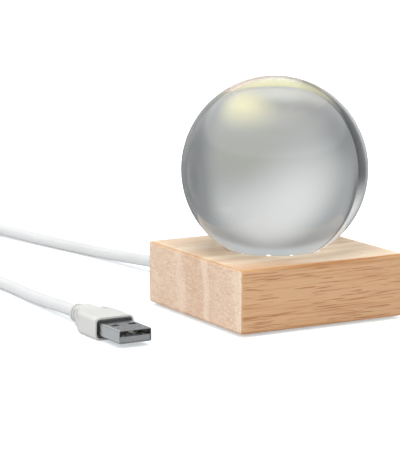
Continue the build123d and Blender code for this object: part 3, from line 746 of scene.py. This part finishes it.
def make_world():
    """Glass shows the grey studio, metal a plain grey one, the camera sees white, and everything else
    gets even light."""
    stage = settings("lamp_stage")
    world = bpy.data.worlds.new("studio")
    world.use_nodes = True
    bpy.context.scene.world = world
    net = Net(world.node_tree)
    background = world.node_tree.nodes["Background"].inputs
    way = net.place("Generated")
    height = net.parts(way)[2]

    # Metal shows grey low down, nearly black straight ahead of the camera and white to its left
    ahead = net.vector("DOT_PRODUCT", way, direction(30.0, 0.0), output=1)
    dim = net.maths("MULTIPLY", net.step(ahead, 0.62, 0.90), net.step(height, 0.02, -0.14))
    low = net.blend(dim, (0.42, 0.425, 0.43), (0.10, 0.105, 0.11))
    beside = net.vector("DOT_PRODUCT", way, direction(-30.0, -10.0), output=1)
    low = net.blend(net.step(beside, 0.92, 0.98), low, (0.95, 0.95, 0.95))

    # Above that it shows a bright ring, and grey again overhead
    mirror = net.blend(net.step(height, 0.30, 0.42), low, (1.25, 1.25, 1.25))
    mirror = net.blend(net.step(height, 0.70, 0.85), mirror, (0.60, 0.60, 0.60))

    rays = net.add("ShaderNodeLightPath").node.outputs
    seen = net.blend(rays["Is Glossy Ray"], (stage.fill_strength,) * 3, mirror)
    seen = net.blend(rays["Is Transmission Ray"], seen, studio_picture(net))
    net.feed(background["Color"], net.blend(rays["Is Camera Ray"], seen, (1.0, 1.0, 1.0)))
    net.feed(background["Strength"], 1.0)


def add_lamp(name, azimuth, elevation, distance, size, power, in_glass):
    """A square soft lamp that faces the block's middle from that side and height, in degrees."""
    data = bpy.data.lights.new(name, "AREA")
    data.shape = "SQUARE"
    data.size = size
    data.energy = power
    lamp = bpy.data.objects.new(name, data)
    bpy.context.scene.collection.objects.link(lamp)
    away = Vector(direction(azimuth, elevation))
    lamp.location = BLOCK_MIDDLE + away * distance
    lamp.rotation_mode = "QUATERNION"
    lamp.rotation_quaternion = away.to_track_quat("Z", "Y")
    lamp.visible_camera = lamp.visible_glossy = False
    lamp.visible_transmission = in_glass


def link_mesh(name, points, faces, material, smooth=True):
    """A mesh object at the origin from an array of points and a list of faces."""
    mesh = bpy.data.meshes.new(name)
    mesh.from_pydata(points.tolist(), [], faces)
    mesh.materials.append(material)
    mesh.polygons.foreach_set("use_smooth", np.full(len(mesh.polygons), smooth))
    mesh.validate()
    mesh.update()
    made = bpy.data.objects.new(name, mesh)
    bpy.context.scene.collection.objects.link(made)
    return made


def merge_points(points, faces, grain):
    """Merge the points that fall on the same place of a grid of grains."""
    keys = np.round(points / grain).astype(np.int64)
    _, first, place = np.unique(keys, axis=0, return_index=True, return_inverse=True)
    return points[first], place.reshape(-1)[faces]


def ball_surface(centre, radius, steps):
    """A sphere from six equal squares. Each square of the cube is a grid of two angles from -45 to
    45 degrees; its point is (1, tan of one, tan of the other), turned to its side of the cube and
    scaled to the radius."""
    angle = np.linspace(-math.pi / 4, math.pi / 4, steps + 1)
    u, v = (np.tan(part).ravel() for part in np.meshgrid(angle, angle, indexing="ij"))
    one = np.ones_like(u)
    sides = []
    for sign in (1.0, -1.0):
        sides.append(np.stack((sign * one, sign * u, v), 1))
        sides.append(np.stack((v, sign * one, sign * u), 1))
        sides.append(np.stack((sign * u, v, sign * one), 1))
    points = np.concatenate(sides)
    points *= radius / np.linalg.norm(points, axis=1, keepdims=True)
    corner = (np.arange(steps)[:, None] * (steps + 1) + np.arange(steps)).ravel()
    square = np.stack((corner, corner + steps + 1, corner + steps + 2, corner + 1), 1)
    faces = np.concatenate([square + side * (steps + 1) ** 2 for side in range(6)])
    points, faces = merge_points(points, faces, radius * 1e-5)
    return points + np.array(centre), faces.tolist()


def strap_line(half_length, half_height, corner, thickness, overlap):
    """A strap's centre line and its outward normals in the plane of its loop, and the length run at
    each point. The line is a rounded rectangle, whose corners are quarter circles, with its points
    spaced evenly. It starts on the top, goes once round and lies on its own start, and in the last
    stretch before that it steps out by its thickness."""
    turn = np.radians(np.arange(95.0, 450.0, 10.0))
    unit = np.stack((np.cos(turn), np.sin(turn)), 1)
    straight = np.array((half_length - corner, half_height - corner))
    start = np.array((straight[0], half_height))
    end = start - (overlap, 0.0)
    outline = np.concatenate(([start], np.sign(unit) * straight + corner * unit, [start, end]))
    run = np.r_[0.0, np.cumsum(np.linalg.norm(np.diff(outline, axis=0), axis=1))]
    even = np.linspace(0.0, run[-1], TIE_POINTS)
    line = np.stack([np.interp(even, run, outline[:, part]) for part in (0, 1)], 1)
    tangent = np.gradient(line, axis=0)
    tangent /= np.linalg.norm(tangent, axis=1, keepdims=True)
    normal = np.stack((tangent[:, 1], -tangent[:, 0]), 1)
    step = np.clip((even - run[-1] + overlap) / (TIE_STEP_UP * thickness) + 1.0, 0.0, 1.0)
    line = line + normal * (thickness * step * step * (3.0 - 2.0 * step))[:, None]
    return line, normal, even


def strap_surface(line, normal, even, middle, radial, thickness, width):
    """A strap from its centre line: the section is a superellipse with powers of a quarter, thickness
    by width, carried along the line. Points, faces, and a length along and across for each point."""
    up = np.array((0.0, 0.0, 1.0))
    turn = np.radians(np.arange(5.0, 360.0, 10.0))
    section = np.stack((np.cos(turn), np.sin(turn)), 1)
    section = np.sign(section) * np.abs(section) ** 0.25 * (width / 2, thickness / 2)
    across = np.cross(up, radial)
    flat = line[:, None, :] + normal[:, None, :] * section[None, :, 1:]
    points = flat[..., :1] * radial + flat[..., 1:] * up + section[None, :, :1] * across
    rows, columns = points.shape[:2]
    ends = line[[0, -1], :1] * radial + line[[0, -1], 1:] * up
    points = np.concatenate((points.reshape(-1, 3), ends)) + middle

    row, column = (part.ravel() for part in np.mgrid[0 : rows - 1, 0:columns])
    after = (column + 1) % columns
    squares = np.stack((row * columns + column, row * columns + after), 1)
    squares = np.concatenate((squares, squares[:, ::-1] + columns), 1)
    rim = np.arange(columns)
    next_rim = (rim + 1) % columns
    last_row = (rows - 1) * columns
    hub = np.full(columns, rows * columns)
    first = np.stack((hub, next_rim, rim), 1)
    last = np.stack((hub + 1, rim + last_row, next_rim + last_row), 1)

    flat_place = np.stack(np.broadcast_arrays(even[:, None], section[None, :, 0]), -1).reshape(-1, 2)
    places = np.concatenate((flat_place, [(even[0], 0.0), (even[-1], 0.0)]))
    return points, squares.tolist() + first.tolist() + last.tolist(), places


class LAMP_OT_stage(bpy.types.Operator):
    """Make the camera, the floor, the studio and its lamps"""

    bl_idname = "lamp.stage"
    bl_label = "Stage"

    def execute(self, context):
        stage = settings("lamp_stage")
        data = bpy.data.cameras.new("camera")
        data.sensor_width = 36.0
        data.lens = stage.camera_lens
        data.clip_start = 0.01
        data.clip_end = 50.0
        camera = bpy.data.objects.new("camera", data)
        context.scene.collection.objects.link(camera)
        azimuth = math.degrees(stage.camera_azimuth)
        elevation = math.degrees(stage.camera_elevation)
        back = Vector(direction(180.0 - azimuth, elevation))
        camera.location = Vector(stage.camera_target) + back * stage.camera_distance
        camera.rotation_mode = "QUATERNION"
        camera.rotation_quaternion = (-back).to_track_quat("-Z", "Y")
        context.scene.camera = camera
        context.scene.view_settings.view_transform = "Standard"

        corners = FLOOR_REACH * np.array([(-1, -1, 0), (1, -1, 0), (1, 1, 0), (-1, 1, 0)])
        floor = link_mesh("floor", corners, [(0, 1, 2, 3)], floor_material(), smooth=False)
        floor.visible_transmission = floor.visible_glossy = False

        make_world()
        for lamp in LAMPS:
            add_lamp(*lamp)
        return {"FINISHED"}


class LAMP_OT_cable(bpy.types.Operator):
    """Make the cable outside the block, from the grommet through its coil to the plug"""

    bl_idname = "lamp.cable"
    bl_label = "Cable"

    def coil(self, cable):
        """The winding's centre line: it spirals in at a steady pitch, climbs a layer in the half
        turn where it reverses, and spirals out again on top. Each layer's turns lie evenly about the
        middle radius."""
        steps = COIL_POINTS * cable.coil_quarter_turns
        whole = math.radians(90) * cable.coil_quarter_turns
        angle = np.linspace(0, whole, steps + 1)
        past = angle - whole / 2
        inner = cable.coil_middle_radius - cable.coil_pitch * whole / (8 * math.pi)
        radius = inner + cable.coil_pitch * np.abs(past) / (2 * math.pi)
        climb = math.pi * np.clip(past / math.pi + 0.5, 0, 1)
        return np.stack(
            (
                cable.coil_centre[0] + radius * np.cos(cable.coil_start + angle),
                cable.coil_centre[1] + radius * np.sin(cable.coil_start + angle),
                cable.coil_level + cable.coil_pitch * (1 - np.cos(climb)) / 2,
            ),
            1,
        )

    def execute(self, context):
        cable = settings("lamp_cable")
        turns = self.coil(cable)
        first = (turns[1] - turns[0]) / np.linalg.norm(turns[1] - turns[0])
        last = (turns[-1] - turns[-2]) / np.linalg.norm(turns[-1] - turns[-2])
        before = turns[0] - first * np.array(COIL_ENTRY)[:, None]
        after = turns[-1] + last * np.array(COIL_EXIT)[:, None]
        route = np.concatenate((LEAD_ROUTE, before, turns, after, TAIL_ROUTE))

        curve = bpy.data.curves.new("cable", "CURVE")
        curve.dimensions = "3D"
        curve.bevel_depth = cable.diameter / 2
        curve.bevel_resolution = 6
        curve.resolution_u = 6
        curve.use_fill_caps = True
        spline = curve.splines.new("NURBS")
        spline.points.add(len(route) - 1)
        spline.points.foreach_set("co", np.c_[route, np.ones(len(route))].ravel())
        spline.order_u = 3
        spline.use_endpoint_u = True
        curve.materials.append(moulded("cable_jacket", cable.jacket, 0.42, 1500.0))
        made = bpy.data.objects.new("cable", curve)
        made.visible_transmission = made.visible_glossy = False
        context.scene.collection.objects.link(made)
        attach(made, "base")
        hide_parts("cable_lead", "cable_coil", "cable_tail")
        return {"FINISHED"}


class LAMP_OT_tie(bpy.types.Operator):
    """Make the woven strap that holds the coil"""

    bl_idname = "lamp.tie"
    bl_label = "Tie"

    def execute(self, context):
        cable = settings("lamp_cable")
        radius, thickness = cable.diameter / 2, cable.tie_thickness
        # The tie stands a quarter turn from the coil's ends and half a turn from its innermost point
        spread = cable.coil_pitch * cable.coil_quarter_turns / 16
        inner = cable.coil_middle_radius - spread + cable.coil_pitch / 2 - radius - TIE_GAP
        outer = cable.coil_middle_radius + spread - cable.coil_pitch / 4 + radius + TIE_GAP
        height = 2 * radius + cable.coil_pitch + TIE_GAP_BELOW + TIE_GAP
        bearing = cable.coil_start + math.radians(90)
        radial = np.array((math.cos(bearing), math.sin(bearing), 0.0))
        middle = radial * (inner + outer) / 2 + (*cable.coil_centre, thickness + height / 2)
        half_length, half_height = (outer - inner + thickness) / 2, (height + thickness) / 2
        corner = TIE_CORNER + thickness / 2
        line = strap_line(half_length, half_height, corner, thickness, cable.tie_overlap)
        points, faces, places = strap_surface(*line, middle, radial, thickness, cable.tie_width)
        strap = link_mesh("coil_strap", points, faces, woven_material("tie_strap", (0.62, 0.62, 0.62)))
        layer = strap.data.uv_layers.new(name="weave")
        corners = np.empty(len(strap.data.loops), dtype=np.int32)
        strap.data.loops.foreach_get("vertex_index", corners)
        layer.data.foreach_set("uv", places[corners].ravel())
        strap.visible_transmission = strap.visible_glossy = False
        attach(strap, "base")
        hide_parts("coil_tie")
        return {"FINISHED"}


class LAMP_OT_ball(bpy.types.Operator):
    """Make the glass ball"""

    bl_idname = "lamp.ball"
    bl_label = "Glass ball"

    def execute(self, context):
        points, faces = ball_surface(BALL_CENTRE, BALL_RADIUS, settings("lamp_glass").facets)
        ball = link_mesh("glass_ball", points, faces, glass_material())
        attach(ball, "ball")
        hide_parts("crystal_ball")
        return {"FINISHED"}


class LAMP_OT_block(bpy.types.Operator):
    """Finish the wooden block"""

    bl_idname = "lamp.block"
    bl_label = "Wooden block"

    def execute(self, context):
        dress("wood_base", wood_material())
        return {"FINISHED"}


class LAMP_OT_light(bpy.types.Operator):
    """Finish the circuit board and its diodes, and light the well"""

    bl_idname = "lamp.light"
    bl_label = "Light"

    def execute(self, context):
        light = settings("lamp_light")
        dress("led_board", moulded("circuit_board", (0.78, 0.78, 0.75), 0.35, 3000.0))
        dress("led_packages", moulded("led_plastic", (0.85, 0.85, 0.82), 0.4, 4000.0))
        dress("led_phosphors", glow_material())
        dress("resistors", moulded("resistor_body", (0.02, 0.02, 0.022), 0.5, 6000.0))
        dress("solder_joints", metal("solder", (0.62, 0.62, 0.64), 0.3, (1.0, 1.0, 1.0)))
        phosphor_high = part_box("led_phosphors")[1]
        data = bpy.data.lights.new("well_lamp", "POINT")
        data.energy = light.well_power
        data.color = light.colour
        data.shadow_soft_size = WELL_LAMP_RADIUS
        lamp = bpy.data.objects.new("well_lamp", data)
        lamp.location = (0.0, 0.0, phosphor_high.z + WELL_LAMP_RISE)
        lamp.visible_camera = lamp.visible_glossy = lamp.visible_transmission = False
        context.scene.collection.objects.link(lamp)
        return {"FINISHED"}


class LAMP_OT_fittings(bpy.types.Operator):
    """Finish the cover, feet, screws, clamp, grommet and wires"""

    bl_idname = "lamp.fittings"
    bl_label = "Fittings"

    def execute(self, context):
        cable = settings("lamp_cable")
        zinc = metal("zinc_screw", (0.60, 0.61, 0.63), 0.32)
        for node in ("board_screws", "cover_screws", "clamp_screws"):
            dress(node, zinc)
        dress("bottom_cover", moulded("cover_plastic", (0.70, 0.70, 0.69), 0.55, 1800.0, 0.00006))
        dress("rubber_feet", moulded("foot_rubber", (0.52, 0.53, 0.54), 0.7, 2200.0, 0.00004))
        dress("cable_clamp", moulded("clamp_plastic", (0.70, 0.70, 0.69), 0.5, 2500.0, 0.00003))
        dress("cable_grommet", moulded("grommet_rubber", (0.68, 0.68, 0.67), 0.6, 2500.0, 0.00003))
        dress("cable_inner", moulded("inner_jacket", cable.jacket, 0.42, 1500.0))
        dress("lead_red", moulded("red_wire", (0.40, 0.02, 0.015), 0.45, 5000.0))
        dress("lead_black", moulded("black_wire", (0.015, 0.015, 0.016), 0.45, 5000.0))
        return {"FINISHED"}


class LAMP_OT_plug(bpy.types.Operator):
    """Finish the plug"""

    bl_idname = "lamp.plug"
    bl_label = "Plug"

    def execute(self, context):
        plug = settings("lamp_plug")
        dress("plug_overmould", moulded("plug_plastic", plug.body, 0.45, 2200.0, 0.00002))
        # The shell's edges get a painted highlight
        dress("plug_shell", metal("shell_metal", plug.shell, 0.22, highlight_width=0.00025))
        dress("plug_tongue", moulded("tongue_plastic", plug.tongue, 0.5, 3000.0))
        dress("plug_contacts", metal("contact_gold", (0.95, 0.90, 0.78), 0.30))
        dress("plug_wires", moulded("core_wire", (0.40, 0.02, 0.015), 0.45, 5000.0))
        return {"FINISHED"}


STEPS = [
    LAMP_OT_stage,
    LAMP_OT_tie,
    LAMP_OT_cable,
    LAMP_OT_ball,
    LAMP_OT_block,
    LAMP_OT_light,
    LAMP_OT_fittings,
    LAMP_OT_plug,
]
GROUPS = {
    "lamp_stage": StageSettings,
    "lamp_glass": GlassSettings,
    "lamp_wood": WoodSettings,
    "lamp_light": LightSettings,
    "lamp_cable": CableSettings,
    "lamp_plug": PlugSettings,
}


class LAMP_PT_panel(bpy.types.Panel):
    """Lists the settings and the steps"""

    bl_idname = "LAMP_PT_panel"
    bl_label = "Crystal ball lamp"
    bl_space_type = "VIEW_3D"
    bl_region_type = "UI"
    bl_category = "Ball lamp"

    def draw(self, context):
        for name, group in GROUPS.items():
            box = self.layout.box()
            box.label(text=group.__doc__)
            for key in group.__annotations__:
                box.prop(getattr(context.scene, name), key)
        for step in STEPS:
            self.layout.operator(step.bl_idname)


def register():
    """Register the classes and give each scene its settings."""
    for kind in (*GROUPS.values(), *STEPS, LAMP_PT_panel):
        bpy.utils.register_class(kind)
    for name, group in GROUPS.items():
        setattr(bpy.types.Scene, name, bpy.props.PointerProperty(type=group))


def unregister():
    """Undo register."""
    for name in GROUPS:
        delattr(bpy.types.Scene, name)
    for kind in reversed((*GROUPS.values(), *STEPS, LAMP_PT_panel)):
        bpy.utils.unregister_class(kind)


def main():
    """Make the whole scene."""
    register()
    make_groups()
    bpy.ops.lamp.stage()
    bpy.ops.lamp.tie()
    bpy.ops.lamp.cable()
    bpy.ops.lamp.ball()
    bpy.ops.lamp.block()
    bpy.ops.lamp.light()
    bpy.ops.lamp.fittings()
    bpy.ops.lamp.plug()


if __name__ == "__main__":
    main()
